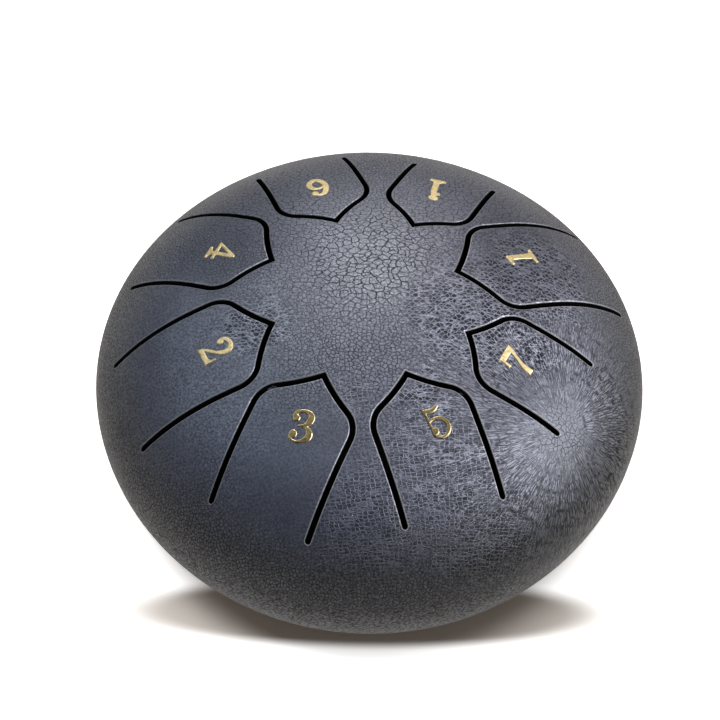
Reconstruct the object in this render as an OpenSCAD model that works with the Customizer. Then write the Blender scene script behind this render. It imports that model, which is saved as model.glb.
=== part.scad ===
// Steel tongue drum: a pressed steel body with eight tongues cut in its top,
// on three rubber feet. Millimetres. It stands on z = 0 with its axis on Z.

/* [Body] */
// Outside diameter at the widest place
drum_d = 155; // [150:1:170]
// Thickness of the pressed steel
wall = 1.5; // [1:0.1:2]
// Radius of the flat-looking crown
crown_rad = 161; // [145:1:180]
// Slope at which the crown runs into the shoulder
crown_a = 17.7; // [16:0.1:19]
// Slope at which the shoulder runs into the upper side
shoulder_a = 51.6; // [48:0.1:56]
// Radius of the upper side
side_rad = 23; // [19:0.5:27]
// Radius of the lower side
lower_rad = 37.3; // [34:0.1:40]
// Angle that the lower side turns through
lower_a = 75; // [70:1:80]
// Radius of the flat base that carries the feet
base_r = 42; // [36:0.5:44]
// Diameter of the sound hole in the base
sound_hole_d = 25; // [18:1:32]
// Height of the weld that joins the two shells
weld_h = 1.6; // [1:0.1:2.4]
// How far the weld bead stands proud inside
bead_h = 0.6; // [0.3:0.1:1]

/* [Tongues] */
// Width of the slot around a tongue
slot_w = 1.5; // [1:0.1:2]
// Width of the lowest tongue, between the middles of its slots
tongue_w = 30; // [26:0.5:32]
// Radius of the ring that the tongue tips lie on
tip_ring_r = 28; // [26:0.5:31]
// Distance from the root of the lowest tongue out to the widest place
root_inset = 8.5; // [6:0.5:12]
// Radius of the rounded shoulders beside a tip
ogee_r = 7; // [5:0.5:9]
// Slope of the flank beside the rounded shoulder
flank_a = 63; // [60:1:66]
// Slope of the flank at the tip
tip_a = 48; // [44:1:52]
// Hairline that stands for the bending line at a tongue's root
root_gap = 0.05; // [0.03:0.01:0.08]
// Angle of the front tongue about the axis
first_angle = -114.8; // [-135:0.1:-90]

/* [Numerals] */
// Height of a numeral
numeral_h = 9; // [7:0.5:10]
// Thickness of the metal numeral
numeral_t = 0.25; // [0.15:0.05:0.4]
// Radius of the ring that the numerals lie on
numeral_ring_r = 44.5; // [42:0.5:46]

/* [Feet] */
// Diameter of a rubber foot at the base
foot_d = 15; // [14:0.5:16]
// Diameter of a rubber foot at the floor
foot_tip_d = 13; // [12:0.5:14]
// Height of a rubber foot
foot_h = 9; // [8:0.5:12]
// Rounding of a foot's lower edge
foot_round = 1.2; // [0.8:0.1:1.6]
// Distance from a foot to the edge of the flat base
foot_edge = 0.5; // [0.3:0.1:1.5]
// Diameter of the recess under a foot
recess_d = 8; // [7.8:0.1:8.4]
// Depth of the recess under a foot
recess_depth = 5; // [4:0.1:6]
// Outside diameter of a washer
washer_d = 7; // [6.6:0.1:7.4]
// Thickness of a washer
washer_t = 0.6; // [0.4:0.1:0.8]
// Thread diameter of a foot screw
screw_d = 3; // [2.5:0.1:3.4]
// Diameter of a foot screw's head
head_d = 5.6; // [5:0.1:6]
// Height of a foot screw's head
head_h = 2; // [1.6:0.1:2.4]
// Diameter of a rivet nut's barrel
nut_d = 5; // [4.6:0.1:5.4]
// Diameter of a rivet nut's flange
flange_d = 7.4; // [7:0.1:8]
// Thickness of a rivet nut's flange
flange_t = 0.8; // [0.5:0.1:1]
// Diameter of the bulge that a set rivet nut has inside the shell
bulge_d = 6.8; // [6.4:0.1:7.4]
// Height of that bulge
bulge_h = 3; // [2:0.1:4]
// Clearance around a screw, a washer or a flange
fit_gap = 0.05; // [0.03:0.01:0.1]

/* [Hidden] */

round_fn = 256;
small_fn = 48;
crown_steps = 6;
shoulder_steps = 9;
side_steps = 8;
lower_steps = 14;
belly_steps = 3;
ogee_steps = 4;
stroke_steps = 3;
overrun = 1;
coat_color = [0.25, 0.27, 0.34];
gold_color = [0.86, 0.70, 0.38];
rubber_color = [0.07, 0.07, 0.07];
zinc_color = [0.74, 0.75, 0.77];

// Body
drum_r = drum_d / 2;
crown_edge_r = crown_rad * sin(crown_a);
shoulder_edge_r = drum_r - side_rad * (1 - sin(shoulder_a));
shoulder_rad = (shoulder_edge_r - crown_edge_r) / (sin(shoulder_a) - sin(crown_a));
lower_edge_r = drum_r - lower_rad * (1 - cos(lower_a));
belly_rad = (lower_edge_r - base_r) / cos(lower_a);
equator_z = foot_h + lower_rad * sin(lower_a) + belly_rad * (1 - sin(lower_a));
shoulder_r0 = crown_edge_r - shoulder_rad * sin(crown_a);
shoulder_z0 = equator_z + side_rad * cos(shoulder_a) - shoulder_rad * cos(shoulder_a);
crown_z0 = shoulder_z0 + (shoulder_rad - crown_rad) * cos(crown_a);
crown_z = crown_z0 + crown_rad;

// Tongues in the order of their notes
root_ring_r = drum_r - root_inset;
note_names = ["1", "2", "3", "4", "5", "6", "7", "high_1"];
note_count = len(note_names);
// Place of each note around the drum, counted from the front tongue
note_places = [3, 7, 0, 6, 1, 5, 2, 4];
width_shares = [1, 0.955, 0.92, 0.92, 0.885, 0.88, 0.82, 0.83];
tip_shares = [0.89, 0.995, 1.025, 1.065, 0.97, 1.015, 1.015, 0.995];
root_shares = [1, 0.995, 0.96, 0.98, 0.905, 0.865, 0.86, 0.825];
numeral_ring_shares = [1.01, 0.99, 0.98, 1.035, 0.935, 1.01, 0.96, 1.055];
numeral_side_shares = [0.2, 0.145, 0.09, 0.065, 0.29, 0.01, -0.045, 0.1];
numeral_tilts = [6, 5, 0, 0, 4, 0, -3, 12];

// Feet
foot_places = [-90, 30, 150];
foot_ring_r = base_r - foot_d / 2 - foot_edge;
washer_z = recess_depth - washer_t;
// Cross recess in a screw's head, as shares of the head
cross_l_share = 0.6;
cross_w_share = 0.16;
cross_depth_share = 0.6;

function note_angle(i) = first_angle + note_places[i] * 360 / note_count;
function note_half_w(i) = tongue_w * width_shares[i] / 2;
function note_tip(i) = tip_ring_r * tip_shares[i];
function note_root(i) = root_ring_r * root_shares[i];

// Numerals as strokes, in hundredths of the numeral's height. A stroke is a row
// of [x, y, half width]; one such triple alone is a disc; pairs are an outline.
height_shares = 100;
one_shares = [
  [[12, 49], [18, 46], [15, 10], [13, -20], [13, -30], [16, -34], [27, -37], [27, -46],
   [-28, -46], [-28, -37], [-14, -34], [-10, -30], [-9, -20], [-4, 10], [-3, 26],
   [-6, 32], [-12, 34], [-20, 34], [-21, 43]]
];
high_one_shares = [
  [[-3, 50], [11, 50], [16, 36], [19, 20], [19, -22], [20, -31], [24, -35], [32, -37],
   [32, -49], [-19, -49], [-19, -38], [-8, -36], [-2, -31], [-1, -22], [-1, 20],
   [-4, 25], [-14, 27], [-15, 36], [-7, 39]],
  [[-1, 57, 11.5]],
  [[-1, 57, 11.5], [8, 57, 11.5]],
  [[8, 57, 11.5]]
];
two_shares = [
  [[-24, 25, 10]],
  [[-25, 26, 9], [-28, 34, 7], [-20, 44, 6.5], [-5, 49, 6.5], [10, 44, 8], [18, 30, 9],
   [14, 15, 8], [4, 0, 5.5], [-8, -11, 5.5], [-19, -22, 5], [-30, -36, 5]],
  [[-37, -43], [27, -43], [28, -8], [22, -8], [19, -20], [14, -26], [7, -28], [-18, -28],
   [-31, -30]]
];
three_shares = [
  [[-23, 18, 10.5]],
  [[-27, 20, 8], [-31, 27, 6.5], [-26, 36, 6], [-14, 43, 5.5], [0, 45, 6.5], [12, 41, 8.5],
   [18, 30, 10], [16, 18, 9.5], [10, 8, 7], [1, 3, 4], [-11, -2, 2.5]],
  [[2, 2, 3], [16, 1, 5.5], [27, -6, 9], [32, -18, 10.5], [27, -31, 9], [15, -40, 6],
   [3, -45, 4], [-9, -44, 3.5], [-17, -38, 4.5], [-19, -31, 5]],
  [[-13, -27, 12]]
];
four_shares = [
  [[13, 55, 6]],
  [[12, 55, 5.5], [4, 42, 5.5], [-9, 21, 5], [-21, 2, 5], [-30, -11, 4]],
  [[14, 55, 5], [14, 45, 7], [14, 20, 7.5], [14, -34, 7.5]],
  [[-34, -12], [38, -12], [38, -1], [-28, -1]],
  [[-10, -35], [38, -35], [38, -26], [29, -25], [22, -20], [6, -20], [-1, -25], [-10, -26]]
];
five_shares = [
  [[-25, 37, 7], [-10, 33, 7.5], [2, 32, 7], [13, 36, 6.5], [24, 43, 4]],
  [[-21, 40, 4.5], [-20, 11, 4], [-19, -22, 4]],
  [[-17, 3, 3], [-7, 7, 4.5], [6, 7, 5.5], [18, 2, 6.5], [28, -10, 7], [30, -26, 7],
   [23, -39, 6], [12, -47, 5], [0, -49, 4.5], [-12, -45, 4.5], [-19, -36, 5], [-19, -30, 5]],
  [[-13, -27, 11.5]]
];
six_shares = [
  [[15, 29, 11.5]],
  [[14, 36, 5], [5, 41, 6], [-8, 39, 7.5], [-19, 29, 9], [-27, 10, 10], [-28, -13, 10],
   [-20, -33, 9], [-5, -43, 7.5], [11, -36, 8.5], [19, -21, 9.5], [19, -12, 9.5]],
  [[18, -25, 9], [20, -16, 9.5], [13, 0, 8], [-1, 7, 6], [-12, 5, 4.5], [-23, 1, 4]]
];
seven_shares = [
  [[-34, 44], [31, 44], [28, 34], [22, 26], [-34, 26]],
  [[-29, 38, 5], [-30, 22, 5], [-33, 6, 5.5]],
  [[21, 35, 7], [17, 26, 7], [10, 12, 6], [3, -3, 5.7], [-4, -17, 7], [-9, -34, 9],
   [-10, -53, 10]]
];
numeral_shares = [
  one_shares, two_shares, three_shares, four_shares,
  five_shares, six_shares, seven_shares, high_one_shares
];

// Points along an arc about [r0, z0], from one slope to another, both measured
// from the top; an arc that runs on from another one leaves its first point out
function arc(r0, z0, rad, from_a, to_a, steps, skip) =
  [for (k = [skip : steps])
    let (a = from_a + (to_a - from_a) * k / steps)
    [r0 + rad * sin(a), z0 + rad * cos(a)]];
function reversed(list) = [for (k = [len(list) - 1 : -1 : 0]) list[k]];

// Section lines that lie grow outside the shells, as far as the edge of the weld
function weld_edge_a(rad) = acos(weld_h / 2 / rad);
function upper_line(grow) =
  concat(
    arc(0, crown_z0, crown_rad + grow, 0, crown_a, crown_steps, 0),
    arc(shoulder_r0, shoulder_z0, shoulder_rad + grow, crown_a, shoulder_a, shoulder_steps, 1),
    arc(drum_r - side_rad, equator_z, side_rad + grow, shoulder_a,
        weld_edge_a(side_rad + grow), side_steps, 1)
  );
function lower_line(grow) =
  concat(
    arc(drum_r - lower_rad, equator_z, lower_rad + grow, 180 - weld_edge_a(lower_rad + grow),
        90 + lower_a, lower_steps, 0),
    arc(base_r, foot_h + belly_rad, belly_rad + grow, 90 + lower_a, 180, belly_steps, 1),
    [[sound_hole_d / 2, foot_h - grow]]
  );

module upper_wall() {
  rotate_extrude($fn = round_fn)
    polygon(concat(upper_line(0), reversed(upper_line(-wall))));
}

module lower_wall() {
  rotate_extrude($fn = round_fn)
    polygon(concat(lower_line(0), reversed(lower_line(-wall))));
}

// Outline of a tongue grown by g on every side, its tip towards the axis.
// Each half is a rounded shoulder, a hollow flank and a straight side.
function ogee_half(half_w, tip, root, g) =
  let (
    flank_rad = (half_w - ogee_r * (1 - cos(flank_a))) / (cos(tip_a) - cos(flank_a)),
    reach = (ogee_r + flank_rad) * sin(flank_a) - flank_rad * sin(tip_a),
    shoulder_u = tip + reach,
    shoulder_v = half_w - ogee_r,
    flank_u = shoulder_u - (ogee_r + flank_rad) * sin(flank_a),
    flank_v = shoulder_v + (ogee_r + flank_rad) * cos(flank_a),
    end_a = acos(flank_v / (flank_rad - g))
  )
  concat(
    [[root, half_w + g]],
    [for (k = [0 : 2 * ogee_steps])
      let (a = flank_a * k / (2 * ogee_steps))
      [shoulder_u - (ogee_r + g) * sin(a), shoulder_v + (ogee_r + g) * cos(a)]],
    [for (k = [1 : ogee_steps])
      let (a = flank_a + (end_a - flank_a) * k / ogee_steps)
      [flank_u + (flank_rad - g) * sin(a), flank_v - (flank_rad - g) * cos(a)]]
  );

module tongue_outline(i, g, root) {
  half = ogee_half(note_half_w(i), note_tip(i), root, g);
  last = len(half) - 1;
  polygon(concat(half, [for (k = [1 : last]) let (p = half[last - k]) [p[0], -p[1]]]));
}

// What the laser takes out for one tongue, with round ends to its slots
module tongue_window(i) {
  tongue_outline(i, slot_w / 2, note_root(i));
  for (side = [-1, 1])
    translate([note_root(i), side * note_half_w(i)])
      circle(d = slot_w, $fn = small_fn);
}

// Prism on a flat shape, up through the whole upper shell
module through_top(i) {
  rotate([0, 0, note_angle(i)])
    translate([0, 0, equator_z])
      linear_extrude(height = crown_z - equator_z + overrun)
        children();
}

module upper_shell() {
  color(coat_color)
    difference() {
      upper_wall();
      for (i = [0 : note_count - 1])
        through_top(i) tongue_window(i);
    }
}

module tongue(i) {
  color(coat_color)
    intersection() {
      upper_wall();
      through_top(i) tongue_outline(i, -slot_w / 2, note_root(i) - root_gap);
    }
}

module lower_shell() {
  color(coat_color)
    difference() {
      lower_wall();
      at_feet(foot_h - overrun)
        cylinder(d = nut_d, h = wall + 2 * overrun, $fn = small_fn);
    }
}

// The weld fills the wall between the shells and stands proud inside as a bead
module seam_weld() {
  upper_out = upper_line(0);
  upper_in = upper_line(-wall);
  bead_r = drum_r - wall - bead_h;
  color(coat_color)
    rotate_extrude($fn = round_fn)
      polygon([
        upper_out[len(upper_out) - 1],
        [drum_r, equator_z],
        lower_line(0)[0],
        lower_line(-wall)[0],
        [bead_r, equator_z - weld_h / 4],
        [bead_r, equator_z + weld_h / 4],
        upper_in[len(upper_in) - 1]
      ]);
}

// Point on a smooth row of stroke points, between points k and k + 1
function stroke_end(row, k) =
  k < 0 ? 2 * row[0] - row[1] :
  k > len(row) - 1 ? 2 * row[k - 1] - row[k - 2] :
  row[k];
function stroke_point(row, k, t) =
  let (
    a = stroke_end(row, k - 1),
    b = row[k],
    c = stroke_end(row, k + 1),
    d = stroke_end(row, k + 2)
  )
  (2 * b + (c - a) * t + (2 * a - 5 * b + 4 * c - d) * t * t
    + (3 * b - a - 3 * c + d) * t * t * t) / 2;
function stroke_row(row) =
  len(row) < 3 ? row :
  concat(
    [for (k = [0 : len(row) - 2], s = [0 : stroke_steps - 1])
      stroke_point(row, k, s / stroke_steps)],
    [row[len(row) - 1]]
  );
function stroke_side(row, side) =
  [for (k = [0 : len(row) - 1])
    let (
      from = row[max(k - 1, 0)],
      to = row[min(k + 1, len(row) - 1)],
      along = [to[0] - from[0], to[1] - from[1]] / norm([to[0] - from[0], to[1] - from[1]])
    )
    [row[k][0] - side * along[1] * row[k][2], row[k][1] + side * along[0] * row[k][2]]];

module stroke_shape(stroke) {
  unit = numeral_h / height_shares;
  if (len(stroke[0]) == 2) {
    polygon(unit * stroke);
  } else if (len(stroke) == 1) {
    translate([unit * stroke[0][0], unit * stroke[0][1]])
      circle(r = unit * stroke[0][2], $fn = small_fn);
  } else {
    row = stroke_row(stroke);
    polygon(unit * concat(stroke_side(row, 1), reversed(stroke_side(row, -1))));
  }
}

// A numeral lies on its tongue with its top towards the drum's axis
module numeral(i) {
  color(gold_color)
    intersection() {
      rotate_extrude($fn = round_fn)
        polygon(concat(upper_line(numeral_t), reversed(upper_line(0))));
      union() {
        for (stroke = numeral_shares[i])
          through_top(i)
            translate([numeral_ring_r * numeral_ring_shares[i], numeral_h * numeral_side_shares[i]])
              rotate([0, 0, 90 + numeral_tilts[i]])
                stroke_shape(stroke);
      }
    }
}

module at_feet(z) {
  for (a = foot_places)
    rotate([0, 0, a])
      translate([foot_ring_r, 0, z])
        children();
}

module foot_section() {
  web_r = screw_d / 2 + fit_gap;
  tip_r = foot_tip_d / 2;
  difference() {
    union() {
      square([tip_r - foot_round, foot_round]);
      polygon([[0, foot_round], [tip_r, foot_round], [foot_d / 2, foot_h], [0, foot_h]]);
      translate([tip_r - foot_round, foot_round])
        circle(r = foot_round, $fn = small_fn);
    }
    translate([0, -overrun])
      square([recess_d / 2, recess_depth + overrun]);
    translate([0, -overrun])
      square([web_r, foot_h + 2 * overrun]);
    translate([0, foot_h - flange_t])
      square([flange_d / 2 + fit_gap, flange_t + overrun]);
  }
}

module foot(place) {
  color(rubber_color)
    rotate([0, 0, foot_places[place]])
      translate([foot_ring_r, 0, 0])
        rotate_extrude($fn = 2 * small_fn) foot_section();
}

module foot_washers() {
  color(zinc_color)
    at_feet(washer_z)
      difference() {
        cylinder(d = washer_d, h = washer_t, $fn = small_fn);
        translate([0, 0, -overrun])
          cylinder(d = screw_d + 2 * fit_gap, h = washer_t + 2 * overrun, $fn = small_fn);
      }
}

// Cheese head with a cross recess, and a plain shank for the thread
module foot_screws() {
  shank_h = foot_h + wall + bulge_h - washer_z;
  cross_l = head_d * cross_l_share;
  cross_w = head_d * cross_w_share;
  cross_depth = head_h * cross_depth_share;
  color(zinc_color)
    at_feet(washer_z)
      difference() {
        union() {
          translate([0, 0, -head_h])
            cylinder(d = head_d, h = head_h, $fn = small_fn);
          cylinder(d = screw_d, h = shank_h, $fn = small_fn);
        }
        for (turn = [0, 90])
          rotate([0, 0, turn])
            translate([-cross_l / 2, -cross_w / 2, -head_h - overrun])
              cube([cross_l, cross_w, cross_depth + overrun]);
      }
}

// Flange outside the shell, barrel through it and the set bulge inside it
module foot_rivet_nuts() {
  color(zinc_color)
    at_feet(foot_h)
      difference() {
        union() {
          translate([0, 0, -flange_t])
            cylinder(d = flange_d, h = flange_t, $fn = small_fn);
          cylinder(d = nut_d - fit_gap, h = wall, $fn = small_fn);
          translate([0, 0, wall])
            cylinder(d1 = bulge_d, d2 = nut_d, h = bulge_h, $fn = small_fn);
        }
        translate([0, 0, -flange_t - overrun])
          cylinder(d = screw_d + fit_gap, h = flange_t + wall + bulge_h + 2 * overrun, $fn = small_fn);
      }
}

upper_shell();
lower_shell();
seam_weld();
for (i = [0 : note_count - 1]) {
  tongue(i);
  numeral(i);
}
foot(0);  // foot_front
foot(1);  // foot_rear_right
foot(2);  // foot_rear_left
foot_washers();
foot_screws();
foot_rivet_nuts();
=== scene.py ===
# Small steel tongue drum: two pressed shells in a leather-grain coat, eight cut tongues,
# gold metal numerals, and rubber feet held by screws. Metres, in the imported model's frame.
import math

import bpy
import numpy as np
from mathutils import Matrix, Vector
from mathutils.geometry import delaunay_2d_cdt
from mathutils.kdtree import KDTree


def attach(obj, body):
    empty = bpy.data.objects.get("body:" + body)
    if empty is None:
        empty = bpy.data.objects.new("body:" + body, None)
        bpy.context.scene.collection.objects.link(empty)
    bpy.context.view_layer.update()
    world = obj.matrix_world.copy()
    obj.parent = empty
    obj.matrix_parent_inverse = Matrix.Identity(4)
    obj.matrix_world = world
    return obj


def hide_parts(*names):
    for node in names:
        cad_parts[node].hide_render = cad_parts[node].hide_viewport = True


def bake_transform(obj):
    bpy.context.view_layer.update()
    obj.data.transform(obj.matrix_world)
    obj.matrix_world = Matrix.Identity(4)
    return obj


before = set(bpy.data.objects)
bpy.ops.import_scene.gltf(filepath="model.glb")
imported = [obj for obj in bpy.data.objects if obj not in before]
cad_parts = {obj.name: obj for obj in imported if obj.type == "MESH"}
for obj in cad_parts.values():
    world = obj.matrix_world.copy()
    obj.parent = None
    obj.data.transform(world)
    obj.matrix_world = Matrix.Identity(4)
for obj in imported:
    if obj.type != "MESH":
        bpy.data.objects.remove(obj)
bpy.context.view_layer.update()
print("frame loaded, nodes:", len(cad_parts))

mm = 0.001
tiny = 1e-12  # guards a division

# The body's driving sizes, the same as the construction's; angles in degrees
drumBody = {
    "diameter": 155 * mm,
    "hair": 0.01 * mm,  # keeps the finer mesh inside the construction's box
    "wall": 1.5 * mm,
    "crownRadius": 161 * mm,
    "crownAngle": 17.7,  # slope where the crown runs into the shoulder
    "shoulderAngle": 51.6,  # slope where the shoulder runs into the upper side
    "sideRadius": 23 * mm,
    "lowerRadius": 37.3 * mm,
    "lowerAngle": 75,  # what the lower side turns through
    "baseRadius": 42 * mm,
    "soundHole": 25 * mm,
    "weldHeight": 1.6 * mm,
    "beadHeight": 0.6 * mm,
    "footHeight": 9 * mm,
    "footDiameter": 15 * mm,
    "footEdge": 0.5 * mm,
    "nutHole": 5 * mm,
    "footPlaces": (-90, 30, 150),
}

drumRadius = drumBody["diameter"] / 2 - drumBody["hair"]
wall = drumBody["wall"]
crownA, shoulderA = math.radians(drumBody["crownAngle"]), math.radians(drumBody["shoulderAngle"])
crownRadius, sideRadius = drumBody["crownRadius"], drumBody["sideRadius"]
crownEdge = crownRadius * math.sin(crownA)
shoulderEdge = drumRadius - sideRadius * (1 - math.sin(shoulderA))
shoulderRadius = (shoulderEdge - crownEdge) / (math.sin(shoulderA) - math.sin(crownA))
lowerRadius, lowerA = drumBody["lowerRadius"], math.radians(drumBody["lowerAngle"])
baseRadius, footHeight = drumBody["baseRadius"], drumBody["footHeight"]
lowerEdge = drumRadius - lowerRadius * (1 - math.cos(lowerA))
bellyRadius = (lowerEdge - baseRadius) / math.cos(lowerA)
equatorZ = footHeight + lowerRadius * math.sin(lowerA) + bellyRadius * (1 - math.sin(lowerA))
shoulderR0 = crownEdge - shoulderRadius * math.sin(crownA)
shoulderZ0 = equatorZ + (sideRadius - shoulderRadius) * math.cos(shoulderA)
crownZ0 = shoulderZ0 + (shoulderRadius - crownRadius) * math.cos(crownA)
sideR0, lowerR0 = drumRadius - sideRadius, drumRadius - lowerRadius
footRing = baseRadius - drumBody["footDiameter"] / 2 - drumBody["footEdge"]

# How finely the steel is meshed
sheetMesh = {
    "around": 256,  # divisions round the axis
    "plateRadius": 72.5 * mm,  # where the filled plan of the top hands over to rings
    "spacing": 2.1 * mm,
    "baseSpacing": 4.2 * mm,
    "clearOfEdge": 0.6,  # share of the spacing kept free beside an outline
    "mergeWithin": 1e-6,  # millimetres
    "sideRings": 10,
    "lowerRings": 22,
    "holeSteps": 96,
    "nutHoleStep": 3,  # a nut's hole has every third of those
    "seamSteps": 3,
    "beadSteps": 9,
    "edgeRadius": 0.3 * mm,  # rounding that the coat gives a cut edge
    "edgeSlopes": (90, 60, 30, 0),  # slopes across that rounding, in degrees
    "edgeLean": 0.3,  # lean from which a face counts as part of the rounding
}


# Height of the top sheet and its slope at a distance from the axis; grow moves it outward
def domeAt(r, grow=0.0):
    r = np.asarray(r, float)
    crown, shoulder, side = crownRadius + grow, shoulderRadius + grow, sideRadius + grow
    onCrown = r < crown * math.sin(crownA)
    onShoulder = r < shoulderR0 + shoulder * math.sin(shoulderA)
    radius = np.where(onCrown, crown, np.where(onShoulder, shoulder, side))
    centreR = np.where(onCrown, 0.0, np.where(onShoulder, shoulderR0, sideR0))
    centreZ = np.where(onCrown, crownZ0, np.where(onShoulder, shoulderZ0, equatorZ))
    sine = np.clip((r - centreR) / radius, -1, 1)
    return centreZ + radius * np.sqrt(1 - sine**2), np.arcsin(sine)


# A point of the top shell's sheet: its plan distance as far as plateRadius, and on from
# there the length along the side down to the weld
def upperSheet(p, grow=0.0):
    plateRadius = sheetMesh["plateRadius"]
    radius = sideRadius + grow
    startA = math.asin((plateRadius - sideR0) / radius)
    endA = math.acos(drumBody["weldHeight"] / 2 / radius)
    share = np.clip((p - plateRadius) / (upperRim - plateRadius), 0, 1)
    angle = startA + (endA - startA) * share
    height, slope = domeAt(np.minimum(p, plateRadius), grow)
    onPlate = p <= plateRadius
    r = np.where(onPlate, p, sideR0 + radius * np.sin(angle))
    z = np.where(onPlate, height, equatorZ + radius * np.cos(angle))
    return r, z, np.where(onPlate, slope, angle)


# The same for the bottom shell: flat base, belly, lower side; slopes run on past 90 degrees
def lowerSheet(p, grow=0.0):
    belly, lower = bellyRadius + grow, lowerRadius + grow
    endA = math.pi - math.acos(drumBody["weldHeight"] / 2 / lower)
    turn = math.pi / 2 - lowerA
    bellyShare = np.clip((p - baseRadius) / (bellyRim - baseRadius), 0, 1)
    lowerShare = np.clip((p - bellyRim) / (lowerRim - bellyRim), 0, 1)
    bellySlope = math.pi - turn * bellyShare
    lowerSlope = (math.pi - turn) + (endA - math.pi + turn) * lowerShare
    flat, onBelly = p <= baseRadius, p <= bellyRim
    r = np.where(flat, p, np.where(onBelly, baseRadius + belly * np.sin(bellySlope),
                                   lowerR0 + lower * np.sin(lowerSlope)))
    z = np.where(flat, footHeight - grow,
                 np.where(onBelly, footHeight + bellyRadius + belly * np.cos(bellySlope),
                          equatorZ + lower * np.cos(lowerSlope)))
    return r, z, np.where(onBelly, bellySlope, lowerSlope)


plateSlope = math.asin((sheetMesh["plateRadius"] - sideR0) / sideRadius)
upperRim = sheetMesh["plateRadius"] + sideRadius * (math.pi / 2 - plateSlope)
bellyRim = baseRadius + bellyRadius * (math.pi / 2 - lowerA)
lowerRim = bellyRim + lowerRadius * lowerA


def onRing(radius, angle):
    return np.stack([radius * np.cos(angle), radius * np.sin(angle)], -1)


def ringPlan(radius):
    turns = np.arange(sheetMesh["around"]) * 2 * math.pi / sheetMesh["around"]
    return onRing(radius, turns)


# Which points lie inside a closed outline
def insideLoop(points, loop):
    x, y = points[:, :1], points[:, 1:]
    a, b = loop, np.roll(loop, -1, 0)
    straddles = (a[:, 1] > y) != (b[:, 1] > y)
    rise = b[:, 1] - a[:, 1]
    rise = np.where(np.abs(rise) < tiny, tiny, rise)
    crosses = straddles & (x < (b[:, 0] - a[:, 0]) * (y - a[:, 1]) / rise + a[:, 0])
    return crosses.sum(1) % 2 == 1


def pointTree(points):
    tree = KDTree(len(points))
    for k, point in enumerate(points):
        tree.insert((*point, 0), k)
    tree.balance()
    return tree


def turnedUp(plan, faces):
    upward = []
    for face in faces:
        x, y = plan[list(face)].T
        area = (x * np.roll(y, -1) - np.roll(x, -1) * y).sum()
        upward.append(tuple(face) if area > 0 else tuple(reversed(face)))
    return upward


# Fills the plan between an outer outline and its holes with even triangles.
# The outlines' own points come first and keep their order.
def fillPlan(outer, holes, spacing):
    loops = [outer, *holes]
    border = np.vstack(loops)
    edges, first = [], 0
    for loop in loops:
        n = len(loop)
        edges += [(first + k, first + (k + 1) % n) for k in range(n)]
        first += n
    near = pointTree(border)

    def wanted(points):
        keep = insideLoop(points, outer)
        for hole in holes:
            keep &= ~insideLoop(points, hole)
        return keep

    low, high = outer.min(0), outer.max(0)
    rows = np.arange(low[1], high[1], spacing * math.sqrt(3) / 2)
    lattice = [(x + (k % 2) * spacing / 2, y) for k, y in enumerate(rows)
               for x in np.arange(low[0], high[0], spacing)]
    lattice = np.array(lattice)
    lattice = lattice[wanted(lattice)]
    gap = sheetMesh["clearOfEdge"] * spacing
    clear = [near.find((*p, 0))[2] > gap for p in lattice]
    plan = np.vstack([border, lattice[np.array(clear, bool)]])
    points = [Vector(p / mm) for p in plan]
    made = delaunay_2d_cdt(points, edges, [], 0, sheetMesh["mergeWithin"])
    source = [o[0] for o in made[3]]
    triangles = np.array([[source[k] for k in face] for face in made[2]])
    triangles = triangles[wanted(plan[triangles].mean(1))]
    return plan, [tuple(int(k) for k in t) for t in triangles]


def placed(name, data):
    made = bpy.data.objects.new(name, data)
    bpy.context.scene.collection.objects.link(made)
    return made


def newObject(name, vertices, faces, materials, indices):
    mesh = bpy.data.meshes.new(name)
    mesh.from_pydata([tuple(v) for v in vertices], [], faces)
    for material in materials:
        mesh.materials.append(material)
    mesh.polygons.foreach_set("material_index", indices)
    mesh.polygons.foreach_set("use_smooth", [True] * len(faces))
    return placed(name, mesh)


# Turns a plan into a closed sheet with an outer skin, an inner skin and walls round every
# open edge. sheet gives r, z and slope of a plan distance; lift and lean shape the outer
# skin's edges. facing is 1 where the outer skin looks up and -1 where it looks down. The
# materials are for the outer skin, for the inner skin and walls, and for rounded edges.
def thickSheet(name, plan, faces, sheet, materials, lift=(0,), lean=((0, 0),), facing=1,
               depth=-wall):
    count = len(plan)
    p = np.hypot(plan[:, 0], plan[:, 1])
    away = plan / np.maximum(p, tiny)[:, None]
    lift = np.pad(lift, (0, count - len(lift)))
    lean = np.pad(lean, ((0, count - len(lean)), (0, 0)))
    skins, normals = [], []
    for grow in (0.0, depth):
        r, z, slope = sheet(p, grow)
        skins.append(np.column_stack([away * r[:, None], z]))
        normals.append(np.column_stack([away * np.sin(slope)[:, None], np.cos(slope)]))
    skins[0][:, 2] += lift
    leanSize = np.linalg.norm(lean, axis=1)
    flatShare = np.sqrt(np.clip(1 - leanSize**2, 0, 1))
    normals[0] = normals[0] * flatShare[:, None] + np.column_stack([lean, np.zeros(count)])
    up = turnedUp(plan, faces)
    if facing < 0:
        up = [tuple(reversed(face)) for face in up]
    down = [tuple(k + count for k in reversed(face)) for face in up]
    runs = {(face[k], face[(k + 1) % len(face)]) for face in up for k in range(len(face))}
    walls = [(b, a, a + count, b + count) for a, b in sorted(runs) if (b, a) not in runs]
    everyFace = up + down + walls
    onEdge = leanSize > sheetMesh["edgeLean"]
    indices = [2 if onEdge[list(face)].any() else 0 for face in up]
    indices += [1] * (len(down) + len(walls))
    made = newObject(name, np.vstack(skins), everyFace, materials, indices)
    corners = [tuple(normals[0][k]) for face in up for k in face]
    corners += [tuple(-normals[1][k - count]) for face in down for k in face]
    corners += [(0.0, 0.0, 0.0)] * (4 * len(walls))
    for polygon in made.data.polygons[len(up) + len(down):]:
        polygon.use_smooth = False
    made.data.normals_split_custom_set(corners)
    return made


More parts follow.
